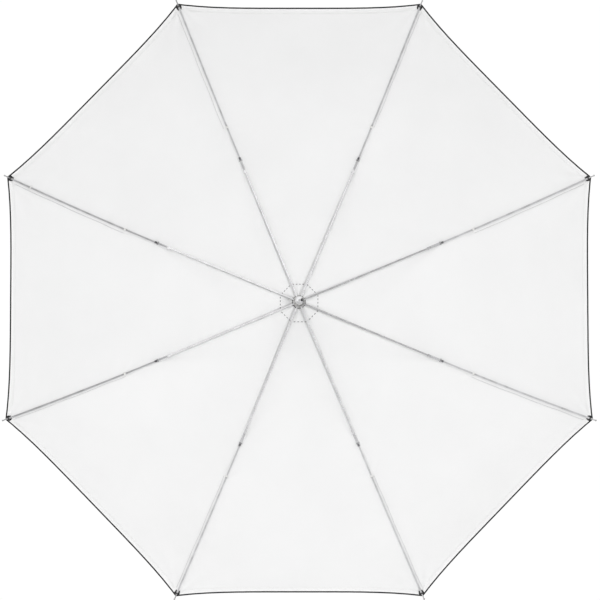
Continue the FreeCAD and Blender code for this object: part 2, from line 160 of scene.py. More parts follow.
def pull(number, x):
    """How far the cloth's pull has moved the rib at x: outwards, and round the shaft."""
    turn = rib_angle(number)
    tip_outwards = TOP_OUTWARDS * math.sin(turn) - SIDES_INWARDS * math.cos(2 * turn) - TIPS_INWARDS
    tip_round = SIDES_UPWARDS * math.cos(turn)
    beyond = np.clip((np.asarray(x, float) - JOINT_RADIUS) / (CORNER_RADIUS - JOINT_RADIUS), 0.0, None)
    return tip_outwards * beyond ** 2, tip_round * beyond ** 2


def rib_points(number, x, lift=0.0, across=0.0):
    """Points above the rib's centre line by lift, and to its side by across."""
    x = np.asarray(x, float)
    slope = rib_slope(x)
    outwards, sideways = pull(number, x)
    return to_world(number, x + lift * np.sin(slope) + outwards,
                    rib_level(x) + lift * np.cos(slope), across + sideways)


# ---------------------------------------------------------------- cloth geometry
def next_rib(number):
    return number % RIBS + 1


def ripple(height, distance, reach, phase):
    """A ripple that dies away with the distance from what makes it."""
    return height * np.exp(-distance / reach) * np.sin(phase)


def pucker(number, x, share, width):
    """Small ripples of the cloth beside its seams, rim, ties and hub stitching."""
    off_seam = width * np.minimum(share, 1 - share)
    seed = number * 2.3 + np.where(share < 0.5, 0.0, 0.9)
    to_rim = np.maximum(CORNER_RADIUS - x, 0.0)
    middle = np.clip(np.abs(share - 0.5) * 24, 0.0, 1.0)
    beside = np.clip(off_seam / 0.008, 0.0, 1.0)
    seam = ripple(0.0002, off_seam, 0.012, x / 0.0031 + seed)
    rim = ripple(0.00028, to_rim, 0.016, off_seam / 0.0036 + seed)
    band = ripple(0.00022, to_rim, 0.07, to_rim / 0.0042 + 1.3 * np.sin(share * 9 + number))
    from_tie = np.hypot(x - TIE_RADIUS, off_seam)
    bearing = np.arctan2(off_seam, x - TIE_RADIUS)
    tie = ripple(0.0005, from_tie, 0.03, bearing * 5 + seed)
    to_corner = np.hypot(to_rim, off_seam)
    fan = np.arctan2(off_seam, to_rim + 1e-6)
    corner = ripple(0.0006, to_corner, 0.05, fan * 9 + seed)
    ring = STITCH_RING_APOTHEM / math.cos(HALF_STEP)
    hub = ripple(0.0003, np.abs(x - ring), 0.008, share * 16 + number)
    inner = 0.0012 * np.exp(-x / 0.022) * np.cos(share * 2 * math.pi)
    return seam + rim * middle + band * middle + (tie + corner) * beside * middle + hub * middle + inner


def cloth_points(number, x, share, lift, rough=1.0):
    """Points of the panel from rib number to the next, at station x and share of the way across."""
    after = next_rib(number)
    first = rib_points(number, x, lift, RIB_HALF_WIDTH)
    last = rib_points(after, x, lift, -RIB_HALF_WIDTH)
    width = np.linalg.norm(last - first, axis=-1)
    along = np.clip(x / CORNER_RADIUS, 0.0, 1.0)
    crown = 4 * share * (1 - share)
    sag = (PANEL_SAG * np.sin(np.pi * along ** 0.9) ** 0.8 + 0.0012 * along ** 4) * crown
    points = first * (1 - share)[..., None] + last * share[..., None]
    points[..., 1] += rough * pucker(number, x, share, width) - sag
    return points, width


def rim_station(share, margin=0.0):
    """The station of the rim, which the cloth's tension draws in between the corners."""
    drawn = RIM_PULL * (1 - np.abs(1 - 2 * share) ** 4)
    return CORNER_RADIUS + (margin - drawn) / math.cos(HALF_STEP)


def grid_normals(points):
    """Unit normals of a grid of points, on the side away from the white, hollow side."""
    normals = np.cross(np.gradient(points, axis=0), np.gradient(points, axis=1))
    normals /= np.maximum(np.linalg.norm(normals, axis=-1, keepdims=True), 1e-12)
    return normals * np.where(normals[..., 1:2] < 0, -1.0, 1.0)


def crowded_ends(count, crowding):
    """Numbers from 0 to 1, closer together at the ends."""
    even = np.linspace(0.0, 1.0, count)
    return even - crowding * np.sin(2 * np.pi * even) / (2 * np.pi)


def whole_panel(number, lift, margin, rows, columns, rough):
    """A grid over the panel from the middle of one rib's back to the middle of the next one's."""
    share = crowded_ends(columns, 0.8)[None, :]
    steps = np.linspace(0.0, 1.0, rows)[:, None]
    x = CLOTH_HOLE + (rim_station(share, margin) - CLOTH_HOLE) * steps
    share = np.broadcast_to(share, x.shape)
    points, width = cloth_points(number, x, share, lift, rough)
    first = [rib_points(number, x[:, :1], lift, RIB_HALF_WIDTH * k) for k in (0.0, 0.5)]
    last = [rib_points(next_rib(number), x[:, -1:], lift, -RIB_HALF_WIDTH * k) for k in (0.5, 0.0)]
    points = np.concatenate(first + [points] + last, axis=1)
    x = np.concatenate([x[:, :1]] * 2 + [x] + [x[:, -1:]] * 2, axis=1)
    spans = np.linalg.norm(np.diff(points, axis=1), axis=-1)
    across = np.concatenate((np.zeros((rows, 1)), np.cumsum(spans, axis=1)), axis=1)
    across -= across[:, -1:] / 2
    return points, np.stack((across, x), axis=-1)


# ---------------------------------------------------------------- materials
def new_material(name, color, roughness, metallic=0.0, **sockets):
    """A Principled material and its tree, with uniform values set on the shader's own sockets."""
    material = bpy.data.materials.new(name)
    material.use_nodes = True
    shader = material.node_tree.nodes["Principled BSDF"]
    shader.inputs["Base Color"].default_value = (*color, 1.0)
    shader.inputs["Roughness"].default_value = roughness
    shader.inputs["Metallic"].default_value = metallic
    for key, value in sockets.items():
        shader.inputs[key.replace("_", " ")].default_value = value
    return material, material.node_tree, shader


def coordinates(tree, kind, scale):
    """Texture coordinates of that kind, scaled by three numbers."""
    source = tree.nodes.new("ShaderNodeTexCoord")
    mapping = tree.nodes.new("ShaderNodeMapping")
    mapping.inputs["Scale"].default_value = scale
    tree.links.new(source.outputs[kind], mapping.inputs["Vector"])
    return mapping.outputs["Vector"]


def noise(tree, vector, scale, detail=4.0, rough=0.55):
    node = tree.nodes.new("ShaderNodeTexNoise")
    node.inputs["Scale"].default_value = scale
    node.inputs["Detail"].default_value = detail
    node.inputs["Roughness"].default_value = rough
    tree.links.new(vector, node.inputs["Vector"])
    return node.outputs["Fac"]


def wave(tree, vector, direction, scale):
    node = tree.nodes.new("ShaderNodeTexWave")
    node.bands_direction = direction
    node.inputs["Scale"].default_value = scale
    node.inputs["Distortion"].default_value = 0.4
    node.inputs["Detail Scale"].default_value = 2.0
    tree.links.new(vector, node.inputs["Vector"])
    return node.outputs["Fac"]


def blend_values(tree, first, second, kind="MULTIPLY"):
    node = tree.nodes.new("ShaderNodeMath")
    node.operation = kind
    for socket, value in zip(node.inputs, (first, second)):
        if isinstance(value, (int, float)):
            socket.default_value = value
        else:
            tree.links.new(value, socket)
    return node.outputs["Value"]


def ramp(tree, value, stops):
    """A colour ramp through (position, grey or colour) stops."""
    node = tree.nodes.new("ShaderNodeValToRGB")
    elements = node.color_ramp.elements
    for index, (position, color) in enumerate(stops):
        element = elements[index] if index < 2 else elements.new(position)
        element.position = position
        shade = (color,) * 3 if isinstance(color, (int, float)) else color
        element.color = (*shade, 1.0)
    tree.links.new(value, node.inputs["Fac"])
    return node.outputs["Color"]


def bump(tree, shader, value, strength, distance):
    node = tree.nodes.new("ShaderNodeBump")
    node.inputs["Strength"].default_value = strength
    node.inputs["Distance"].default_value = distance
    tree.links.new(value, node.inputs["Height"])
    tree.links.new(node.outputs["Normal"], shader.inputs["Normal"])


def woven_cloth(name, dark, light, roughness, sheen, thread=0.00045):
    """Plain-weave cloth: crossed threads in the panel's own coordinates, and slow changes of tone."""
    material, tree, shader = new_material(name, light, roughness, Sheen_Weight=sheen,
                                          Sheen_Roughness=0.4, Specular_IOR_Level=0.3)
    panel = coordinates(tree, "UV", (1.0, 1.0, 1.0))
    wave_scale = 2 * math.pi / (20 * thread)
    warp = wave(tree, panel, "X", wave_scale)
    weft = wave(tree, panel, "Y", wave_scale)
    weave = blend_values(tree, warp, weft)
    place = coordinates(tree, "Object", (1.0, 1.0, 1.0))
    cloudy = noise(tree, place, 9.0, 5.0)
    fleck = noise(tree, place, 900.0, 2.0)
    tone = blend_values(tree, blend_values(tree, cloudy, 0.7), blend_values(tree, fleck, 0.3), "ADD")
    tone = blend_values(tree, tone, blend_values(tree, weave, 0.12), "ADD")
    tree.links.new(ramp(tree, tone, ((0.3, dark), (0.75, light))), shader.inputs["Base Color"])
    rough = ramp(tree, fleck, ((0.2, roughness - 0.06), (0.8, roughness + 0.08)))
    tree.links.new(rough, shader.inputs["Roughness"])
    ripple = blend_values(tree, noise(tree, place, 60.0, 3.0), 0.6)
    bump(tree, shader, blend_values(tree, weave, ripple, "ADD"), 0.25, 0.00012)
    return material


def thread_material(name, dark, light):
    """Twisted sewing thread."""
    material, tree, shader = new_material(name, light, 0.7, Sheen_Weight=0.3)
    place = coordinates(tree, "Object", (1.0, 1.0, 1.0))
    strands = noise(tree, place, 2600.0, 2.0)
    tree.links.new(ramp(tree, strands, ((0.35, dark), (0.65, light))), shader.inputs["Base Color"])
    bump(tree, shader, strands, 0.5, 0.0001)
    return material


def metal(name, dark, light, rough_low, rough_high, tarnish=70.0, metallic=1.0):
    """Plated or drawn metal, with a fine grain, patches of duller plating and worn specks."""
    material, tree, shader = new_material(name, light, rough_low, metallic)
    place = coordinates(tree, "Object", (1.0, 1.0, 1.0))
    patches = noise(tree, place, tarnish, 6.0)
    fine = noise(tree, place, 1400.0, 3.0)
    tree.links.new(ramp(tree, patches, ((0.3, dark), (0.62, light))), shader.inputs["Base Color"])
    mixed = blend_values(tree, blend_values(tree, patches, 0.5), blend_values(tree, fine, 0.5), "ADD")
    tree.links.new(ramp(tree, mixed, ((0.3, rough_low), (0.7, rough_high))), shader.inputs["Roughness"])
    bump(tree, shader, fine, 0.12, 0.00005)
    return material


def plastic(name, dark, light, rough_low, rough_high):
    """Moulded plastic with a fine spark-eroded grain and handling marks."""
    material, tree, shader = new_material(name, light, rough_low, Coat_Weight=0.1, Coat_Roughness=0.3)
    place = coordinates(tree, "Object", (1.0, 1.0, 1.0))
    grain = noise(tree, place, 2200.0, 2.0)
    marks = noise(tree, place, 160.0, 6.0)
    tree.links.new(ramp(tree, marks, ((0.35, dark), (0.7, light))), shader.inputs["Base Color"])
    tree.links.new(ramp(tree, marks, ((0.3, rough_high), (0.65, rough_low))), shader.inputs["Roughness"])
    bump(tree, shader, grain, 0.2, 0.00006)
    return material


WHITE_CLOTH = woven_cloth("white_nylon", (0.85, 0.85, 0.85), (0.888, 0.888, 0.888), 0.72, 0.15)
DOUBLED_CLOTH = woven_cloth("white_nylon_doubled", (0.9, 0.9, 0.9), (0.96, 0.96, 0.96), 0.72, 0.15)
BLACK_CLOTH = woven_cloth("black_nylon", (0.008, 0.008, 0.009), (0.02, 0.02, 0.022), 0.55, 0.35)
WHITE_THREAD = thread_material("white_thread", (0.7, 0.7, 0.69), (0.92, 0.92, 0.9))
# The overlock thread is grey, not white. Its grey is partly the thread and partly painted shade under
# the seam's lifted free edge.
OVERLOCK_SHADE_THREAD = thread_material("grey_thread_painted_shade", (0.58, 0.58, 0.585), (0.74, 0.74, 0.745))
DARK_THREAD = thread_material("dark_thread", (0.05, 0.05, 0.052), (0.13, 0.13, 0.135))
CHROME = metal("chrome", (0.62, 0.62, 0.63), (0.83, 0.83, 0.84), 0.05, 0.16, tarnish=40.0)
STEEL = metal("plated_steel", (0.56, 0.56, 0.565), (0.72, 0.72, 0.73), 0.24, 0.42, metallic=0.25)
BRIGHT_STEEL = metal("bright_steel", (0.63, 0.63, 0.635), (0.81, 0.81, 0.82), 0.16, 0.32, metallic=0.5)
DARK_STEEL = metal("dark_steel", (0.1, 0.1, 0.104), (0.2, 0.2, 0.208), 0.3, 0.5, metallic=0.7)
TIP_METAL = metal("tip_metal", (0.42, 0.42, 0.425), (0.6, 0.6, 0.61), 0.2, 0.4, metallic=0.6)
NICKEL = metal("nickel", (0.56, 0.56, 0.55), (0.74, 0.73, 0.72), 0.14, 0.3, metallic=0.85)
BLACK_PLASTIC = plastic("black_plastic", (0.008, 0.008, 0.009), (0.03, 0.03, 0.032), 0.28, 0.45)


# ---------------------------------------------------------------- mesh helpers
def make_piece(name, verts, faces, material, uvs=None, smooth=True, normals=None):
    mesh = bpy.data.meshes.new(name)
    mesh.from_pydata(np.asarray(verts).reshape(-1, 3).tolist(), [], faces)
    if uvs is not None:
        layer = mesh.uv_layers.new(name="UVMap")
        corners = np.empty(len(mesh.loops), dtype=np.int64)
        mesh.loops.foreach_get("vertex_index", corners)
        layer.data.foreach_set("uv", np.asarray(uvs).reshape(-1, 2)[corners].ravel())
    mesh.materials.append(material)
    mesh.polygons.foreach_set("use_smooth", [smooth] * len(mesh.polygons))
    mesh.update()
    if normals is not None:
        mesh.normals_split_custom_set_from_vertices(np.asarray(normals).tolist())
    piece = bpy.data.objects.new(name, mesh)
    bpy.context.scene.collection.objects.link(piece)
    return piece


def sheet_shell(points, thickness, normals=None):
    """Vertices and faces of a sheet on a grid of points, thickened away from the hollow side."""
    rows, columns = points.shape[:2]
    count = rows * columns
    normals = grid_normals(points) if normals is None else normals
    outer = points + normals * thickness
    verts = np.concatenate((points.reshape(-1, 3), outer.reshape(-1, 3)))
    faces = []
    flip = np.cross(points[1, 0] - points[0, 0], points[0, 1] - points[0, 0])[1] > 0
    for i in range(rows - 1):
        for j in range(columns - 1):
            a = i * columns + j
            face = (a, a + 1, a + columns + 1, a + columns)
            above = tuple(k + count for k in face)
            faces.append(face if flip else face[::-1])
            faces.append(above[::-1] if flip else above)
    last_row = (rows - 1) * columns
    edges = (
        range(columns),
        range(last_row + columns - 1, last_row - 1, -1),
        range(last_row, -1, -columns),
        range(columns - 1, rows * columns, columns),
    )
    for edge in edges:
        for a, b in zip(edge, edge[1:]):
            wall = (a, a + count, b + count, b)
            faces.append(wall if flip else wall[::-1])
    return verts, faces


def sweep(path, radius, sides=8, closed=False):
    """Vertices and faces of a round thread along a path of points."""
    path = [Vector(point) for point in path]
    verts, faces = [], []
    count = len(path)
    normal = None
    for i, point in enumerate(path):
        before = path[(i - 1) % count] if closed or i else path[0]
        after = path[(i + 1) % count] if closed or i < count - 1 else path[-1]
        tangent = (after - before).normalized()
        if normal is None:
            normal = tangent.orthogonal().normalized()
        normal = (normal - tangent * normal.dot(tangent)).normalized()
        binormal = tangent.cross(normal)
        for k in range(sides):
            a = 2 * math.pi * k / sides
            verts.append(tuple(point + (normal * math.cos(a) + binormal * math.sin(a)) * radius))
    spans = count if closed else count - 1
    for i in range(spans):
        for k in range(sides):
            a = i * sides + k
            b = i * sides + (k + 1) % sides
            c = ((i + 1) % count) * sides + (k + 1) % sides
            d = ((i + 1) % count) * sides + k
            faces.append((a, b, c, d))
    if not closed:
        faces.append(tuple(reversed(range(sides))))
        faces.append(tuple(range((count - 1) * sides, count * sides)))
    return verts, faces


def gather(parts):
    """Several lists of vertices and faces as one."""
    verts, faces = [], []
    for some_verts, some_faces in parts:
        shift = len(verts)
        verts.extend([tuple(vert) for vert in some_verts])
        faces.extend(tuple(i + shift for i in face) for face in some_faces)
    return verts, faces


def fold_with_rib(piece, number, side):
    """The piece rides on its rib, with a mesh of its own."""
    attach(piece, f"rib_{number}")
    chord_x = CORNER_RADIUS - PIVOT_RADIUS
    chord_y = float(rib_level(CORNER_RADIUS))
    length = math.hypot(chord_x, chord_y)
    outward = (-chord_y / length, chord_x / length)
    origin = to_world(number, 0.0, 0.0, 0.0)
    axis = to_world(number, -FOLD_TILT * outward[0], -FOLD_TILT * outward[1], side) - origin
    middle = float(rib_level(CORNER_RADIUS / 2)) / 2 + chord_y / 4
    anchor = to_world(number, CORNER_RADIUS / 2, middle, 0.0)
    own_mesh(piece)


# ---------------------------------------------------------------- cloth pieces
def flat_cut():
    """Width and length of half a panel's flat cut, and the area of its cloth without the spare."""
    x = np.linspace(CLOTH_HOLE, CORNER_RADIUS, 200)
    middle = np.stack((x * math.cos(HALF_STEP), rib_level(x)), axis=-1)
    lengths = np.linalg.norm(np.diff(middle, axis=0), axis=-1)
    half_widths = x[:-1] * math.sin(HALF_STEP)
    area = float((lengths * half_widths).sum())
    width = FLAT_WIDTH_SPARE * float(half_widths[-1])
    length = float(lengths.sum()) * FLAT_LENGTH_SPARE
    return (width, length), area


def halves(number):
    """The two half panels beside a rib: hand, side, the panel they belong to, and which end of it."""
    before = (number - 2) % RIBS + 1
    return (("a", -1, before, "last"), ("b", 1, number, "first"))


def half_panel(name, whole, uvs, end, thickness, material):
    """Half of a panel's grid as a closed sheet, shaded as the whole so that the joint hardly shows."""
    middle = whole.shape[1] // 2
    own = slice(0, middle + 1) if end == "first" else slice(middle, None)
    normals = grid_normals(whole)[:, own]
    verts, faces = sheet_shell(whole[:, own], thickness, normals)
    doubled = np.concatenate((uvs[:, own].reshape(-1, 2),) * 2)
    facing = normals.reshape(-1, 3)
    return make_piece(name, verts, faces, material, doubled, normals=np.concatenate((-facing, facing)))


def make_layer(node, lift, thickness, margin, rows, columns, rough, material):
    """One layer of cloth, in half panels that ride on their ribs."""
    flat, area = flat_cut()
    panels = {n: whole_panel(n, lift, margin, rows, columns, rough) for n in range(1, RIBS + 1)}
    sheets = {}
    for number in range(1, RIBS + 1):
        for hand, side, panel, end in halves(number):
            piece = half_panel(f"{node}_panel_{number}{hand}", *panels[panel], end, thickness, material)
            fold_with_rib(piece, number, side)
            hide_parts(f"{node}_{number}")
            sheets[number, hand] = piece
    return sheets, flat, area


def surface_strip(panel, end, x, distance, lift, height):
    """A grid of points on a panel's inner face, at distances from the rib at that end of it.

    height is how far it stands off the cloth on the hollow side, at each point.
    """
    x, distance, height = np.broadcast_arrays(x, distance, height)
    _, width = cloth_points(panel, x, np.zeros_like(x), lift)
    share = distance / width
    share = share if end == "first" else 1 - share
    points, _ = cloth_points(panel, x, share, lift)
    return points - grid_normals(points) * height[..., None]


def rim_strip(panel, end, lift, depths, heights, margin=0.0, columns=60, outside=False):
    """A grid of points along half a rim edge, at depths from its edge."""
    share = np.linspace(0.0, 0.5, columns)[None, :]
    share = share if end == "first" else 1 - share
    depths = np.asarray(depths)[:, None]
    x = rim_station(share, margin) - depths / math.cos(HALF_STEP)
    points, _ = cloth_points(panel, x, np.broadcast_to(share, x.shape), lift)
    sign = 1.0 if outside else -1.0
    return points + sign * grid_normals(points) * np.asarray(heights)[:, None, None]


def make_hem(number, hand, side, panel, end):
    """The canopy's turned hem: more cloth along the rim, a rolled edge and a row of stitches."""
    hem_points = rim_strip(panel, end, WHITE_LIFT, *zip(*HEM_ROWS))
    edge_points = rim_strip(panel, end, WHITE_LIFT, *zip(*EDGE_ROWS))
    hem = make_piece(f"canopy_hem_{number}{hand}", *sheet_shell(hem_points, TRIM_THICKNESS), WHITE_CLOTH,
                     smooth=False)
    edge = make_piece(f"canopy_edge_{number}{hand}", *sheet_shell(edge_points, TRIM_THICKNESS),
                      DOUBLED_CLOTH, smooth=False)
    seam = rim_strip(panel, end, WHITE_LIFT, *zip(*HEM_STITCH_ROWS), columns=260)[0]
    dashes = [sweep(seam[k:k + 4], HEM_THREAD, sides=5) for k in range(2, len(seam) - 5, 5)]
    stitches = make_piece(f"hem_stitches_{number}{hand}", *gather(dashes), WHITE_THREAD)
    for trim in (hem, edge, stitches):
        fold_with_rib(trim, number, side)
    return [hem, edge, stitches]


def make_cover_binding(number, hand, side, panel, end):
    """The rolled black edge of the cover, which shows round the canopy as a dark line."""
    path = rim_strip(panel, end, BLACK_LIFT, (0.0004, 0.0005), (0.0, 0.0), COVER_MARGIN,
                     columns=70, outside=True)[0]
    piece = make_piece(f"cover_binding_{number}{hand}", *sweep(path, BINDING, sides=8), BLACK_CLOTH)
    fold_with_rib(piece, number, side)
    return [piece]


def make_allowance(number, hand, side, panel, end):
    """The seam's spare cloth, lying on the canopy beside the rib, and its overlocked free edge, whose
    grey thread also paints the edge's shade.
    """
    pressed, at_tie = SEAMS[number]
    at_corner = (at_tie + NARROW_SEAM) / 2
    if pressed != side:
        return []
    x = np.linspace(0.05, CORNER_RADIUS - 0.008, 220)[:, None]
    beyond = np.clip((x - TIE_RADIUS) / (CORNER_RADIUS - TIE_RADIUS), 0.0, 1.0)
    inside = np.clip((TIE_RADIUS - x) / 0.02, 0.0, 1.0)
    width = at_tie + (at_corner - at_tie) * beyond - (at_tie - PLAIN_SEAM) * inside
    width = width + 0.0003 * np.sin(x / 0.011 + number)
    share = np.linspace(0.0, 1.0, 7)[None, :]
    lifted = 0.00035 + (0.0008 + 0.0003 * np.sin(x / 0.006 + number * 1.7)) * share ** 2
    points = surface_strip(panel, end, x, width * share, WHITE_LIFT, lifted)
    piece = make_piece(f"seam_allowance_{number}", *sheet_shell(points, 0.00022), WHITE_CLOTH)
    free_edge = points[x[:, 0] > TIE_RADIUS, -1]
    # Grey thread along the free edge: overlock stitching, darkened to paint the shade under the lifted
    # edge.
    overlock = make_piece(f"overlock_{number}", *sweep(free_edge, OVERLOCK, sides=6), OVERLOCK_SHADE_THREAD)
    for trim in (piece, overlock):
        fold_with_rib(trim, number, side)
    return [piece, overlock]


def make_hub_stitches(number, hand, side, panel, end):
    """The dark stitches of the octagonal ring that holds the cloth round the hub."""
    facing = 2 * HALF_STEP * panel
    apothem = STITCH_RING_APOTHEM - STITCH_RING_DROP * math.sin(facing)
    dashes = []
    for k in range(4):
        if (k < 2) != (end == "first"):
            continue
        share = 0.13 + 0.25 * k + np.linspace(0.0, 0.12, 6)
        x = np.full_like(share, apothem / math.cos(HALF_STEP))
        points, _ = cloth_points(panel, x, share, WHITE_LIFT)
        points[:, 1] -= 0.00035 + 0.0002 * np.sin(np.linspace(0.0, math.pi, 6))
        dashes.append(sweep(points, HUB_THREAD, sides=6))
    piece = make_piece(f"hub_stitches_{number}{hand}", *gather(dashes), DARK_THREAD)
    fold_with_rib(piece, number, side)
    return [piece]


def make_cloth():
    """The white canopy inside, the black cover outside, and what is sewn on them."""
    inner, flat, area = make_layer("canopy", WHITE_LIFT, WHITE_THICKNESS, 0.0, 130, 41, 1.0,
                                   WHITE_CLOTH)
    outer, flat, area = make_layer("cover", BLACK_LIFT, BLACK_THICKNESS, COVER_MARGIN, 110, 37, 1.3,
                                   BLACK_CLOTH)
    for number in range(1, RIBS + 1):
        for half in halves(number):
            inner_trim = [*make_hem(number, *half), *make_allowance(number, *half),
                          *make_hub_stitches(number, *half)]
            outer_trim = make_cover_binding(number, *half)


def make_corner_pocket(number):
    """Black patches on the inner face of a corner, either side of the rib, and a sleeve on its tip."""
    parts = []
    for hand, side, panel, end in halves(number):
        x = np.linspace(CORNER_RADIUS - POCKET_LENGTH, CORNER_RADIUS + 0.0004, 14)[:, None]
        share = np.linspace(0.0, 1.0, 8)[None, :]
        width = 0.0016 + 0.0016 * np.sin((x - x[0]) / (x[-1] - x[0]) * math.pi / 2)
        bulge = 0.0011 + 0.0007 * np.sin(share * math.pi) ** 0.7 + 0.0 * x
        points = surface_strip(panel, end, x, 0.0004 + width * share, WHITE_LIFT, bulge)
        parts.append(sheet_shell(points, 0.0008))
    for x in (CORNER_RADIUS - 0.0008, CORNER_RADIUS + 0.0002):
        turns = [2 * math.pi * k / 24 for k in range(24)]
        ring = [rib_points(number, x, POCKET_SLEEVE * math.sin(a), POCKET_SLEEVE * math.cos(a))
                for a in turns]
        parts.append(sweep(ring, 0.0004, sides=6, closed=True))
    piece = make_piece(f"corner_pocket_{number}", *gather(parts), BLACK_CLOTH)
    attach(piece, f"rib_{number}")


def make_tie(number, name, station, turns, seed):
    """A few turns of white thread round a rib, with their knot and loose ends."""
    half_width = RIB_HALF_WIDTH + 0.00065
    half_depth = RIB_HALF_DEPTH + 0.0006
    steps = 20
    path = []
    for k in range(turns * steps + 1):
        a = 2 * math.pi * k / steps
        lean = 0.00062 * (k / steps - turns / 2)
        swell = 1 + 0.05 * math.sin(3.1 * k / steps + seed)
        path.append(rib_points(number, station + lean, -0.0003 + half_depth * swell * math.sin(a),
                               half_width * swell * math.cos(a)))
    parts = [sweep(path, TIE_THREAD, sides=6)]
    for side in (-1, 1):
        start = (station, -half_depth, side * 0.0004)
        end = [rib_points(number, start[0] + side * 0.0014 * t, start[1] - 0.0007 * math.sin(2.4 * t),
                          start[2] + side * (0.0021 + 0.0005 * math.sin(seed)) * t)
               for t in np.linspace(0.0, 1.3, 7)]
        parts.append(sweep(end, TIE_END, sides=6))
    piece = make_piece(f"{name}_{number}", *gather(parts), WHITE_THREAD)
    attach(piece, f"rib_{number}")


def make_cover_seam(number):
    """The felled seam on the outside of the cover, over the rib, with two rows of stitches."""
    x = np.linspace(0.016, CORNER_RADIUS - 0.003, 200)
    lift = BLACK_LIFT + BLACK_THICKNESS + 0.00005
    columns = []
    for across in (-1.0, -0.5, 0.0, 0.5, 1.0):
        columns.append(rib_points(number, x, lift + 0.00025 * (1 - across ** 2),
                                  across * (RIB_HALF_WIDTH + 0.0001)))
    points = np.stack(columns, axis=1)
    parts = [sheet_shell(points, 0.0003)]
    for across in (-0.7, 0.7):
        row = rib_points(number, np.linspace(x[0], x[-1], 640), lift + 0.0005, across * RIB_HALF_WIDTH)
        parts.extend(sweep(row[k:k + 4], COVER_THREAD, sides=5) for k in range(0, len(row) - 5, 5))
    piece = make_piece(f"cover_seam_{number}", *gather(parts), BLACK_CLOTH)
    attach(piece, f"rib_{number}")


# ---------------------------------------------------------------- ribs and stretchers
def own_frame(number, points):
    """Points of the row frame, in rib number's own frame."""
    turn = rib_angle(number)
    c, s = math.cos(turn), math.sin(turn)
    x, y, z = points.T
    return x * c + z * s, y - PIVOT_LEVEL, -x * s + z * c


def bend_copy(name, node, number, material):
    """A copy of a rib's metal, shaped as the cloth's pull bends it."""
    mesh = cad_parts[node].data.copy()
    mesh.name = name
    points = np.empty(len(mesh.vertices) * 3)
    mesh.vertices.foreach_get("co", points)
    x, y, z = own_frame(number, points.reshape(-1, 3))
    outwards, sideways = pull(number, x)
    moved = (x + outwards, y, z + sideways)
    mesh.vertices.foreach_set("co", to_world(number, *moved).ravel())
    mesh.materials.clear()
    mesh.materials.append(material)
    mesh.update()
    piece = bpy.data.objects.new(name, mesh)
    bpy.context.scene.collection.objects.link(piece)
    return piece


def make_joint_clip(number):
    """A dark saddle crimped round the rib just beyond the stretcher's rivet."""
    sides = 28
    stations = np.linspace(JOINT_RADIUS + 0.0019, JOINT_RADIUS + 0.0052, 5)
    half_width = RIB_HALF_WIDTH + 0.0004
    half_depth = RIB_HALF_DEPTH + 0.0004
    outline = []
    for k in range(sides):
        a = 2 * math.pi * k / sides
        c, s = math.cos(a), math.sin(a)
        outline.append((math.copysign(abs(c) ** 0.45, c) * half_width,
                        math.copysign(abs(s) ** 0.45, s) * half_depth))
    rings = [np.array([rib_points(number, x, v, u) for u, v in outline]) for x in stations]
    verts = np.stack(rings).reshape(-1, 3)
    faces = []
    for i in range(len(stations) - 1):
        for k in range(sides):
            a, b = i * sides + k, i * sides + (k + 1) % sides
            faces.append((a, b, b + sides, a + sides))
    faces.append(tuple(reversed(range(sides))))
    faces.append(tuple(range((len(stations) - 1) * sides, len(stations) * sides)))
    piece = make_piece(f"joint_clip_{number}", verts, faces, DARK_STEEL, smooth=False)
    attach(piece, f"rib_{number}")


def make_metalwork(number):
    """The rib and its tip as bent, in place of their straight CAD nodes."""
    for kind, material, slot in (("rib", STEEL, "plated_steel"), ("rib_tip", TIP_METAL, "tip_metal")):
        node = f"{kind}_{number}"
        piece = bend_copy(f"bent_{node}", node, number, material)
        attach(piece, f"rib_{number}")
        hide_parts(node)


make_cloth()
for number in range(1, RIBS + 1):
    make_corner_pocket(number)
    make_tie(number, "rib_tie", TIE_RADIUS, 5, 1.3 * number)
    make_cover_seam(number)
    make_joint_clip(number)
    make_metalwork(number)
make_tie(4, "outer_tie", OUTER_TIE_RADIUS, 3, 2.0)


# ---------------------------------------------------------------- materials of the CAD nodes
def paint(node, material):
    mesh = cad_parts[node].data
    mesh.materials.clear()
    mesh.materials.append(material)


for node, material in (("shaft_tube", CHROME), ("shaft_end_plug", CHROME), ("notch", NICKEL),
                       ("notch_pin", STEEL), ("notch_ring", STEEL), ("canopy_hub_disc", WHITE_CLOTH),
                       ("cap_rosette", BLACK_PLASTIC), ("top_cap", BLACK_PLASTIC),
                       ("open_catch", STEEL), ("runner", NICKEL), ("runner_ring", STEEL)):
    paint(node, material)
for number in range(1, RIBS + 1):
    paint(f"rivet_{number}", DARK_STEEL)
    paint(f"stretcher_{number}", BRIGHT_STEEL)


# ---------------------------------------------------------------- stage, light and camera
FLOOR_DROP = 0.28
FLOOR_RADIUS = 1.9
CAMERA_DISTANCE = 3.0
FRAME_WIDTH = 0.933         # what the photograph's frame spans at the rim
CAMERA_OFFSET = (-0.004, -0.012)    # the camera, to the right of the shaft's axis and above it
AIM_OFFSET = (0.00115, 0.0022)      # the same for the point at the rim's level that it looks at
LIGHT_TARGET = (0, 0.4, 0)
SOFT_PLACE = (-0.1, -3.0, 1.15)
SOFT_SIZE = 2.3
SOFT_POWER = 40
FLASH_RIGHT = 0.09                  # the flash, from the camera
FLASH_UP = 0.004
FLASH_SIZE = 0.07
FLASH_POWER = 30
# Places and greys of the surround's ramps: as it lights, and as it shows in reflections.
LIGHTING_STOPS = ((0.2, 0.12), (0.8, 1.0))
REFLECTED_STOPS = ((0.25, 0.03), (0.42, 0.06), (0.475, 0.12), (0.515, 0.84), (0.75, 1.0))
LIGHTING_STRENGTH = 0.5
REFLECTED_STRENGTH = 1.15
BACKDROP_STRENGTH = 1.02


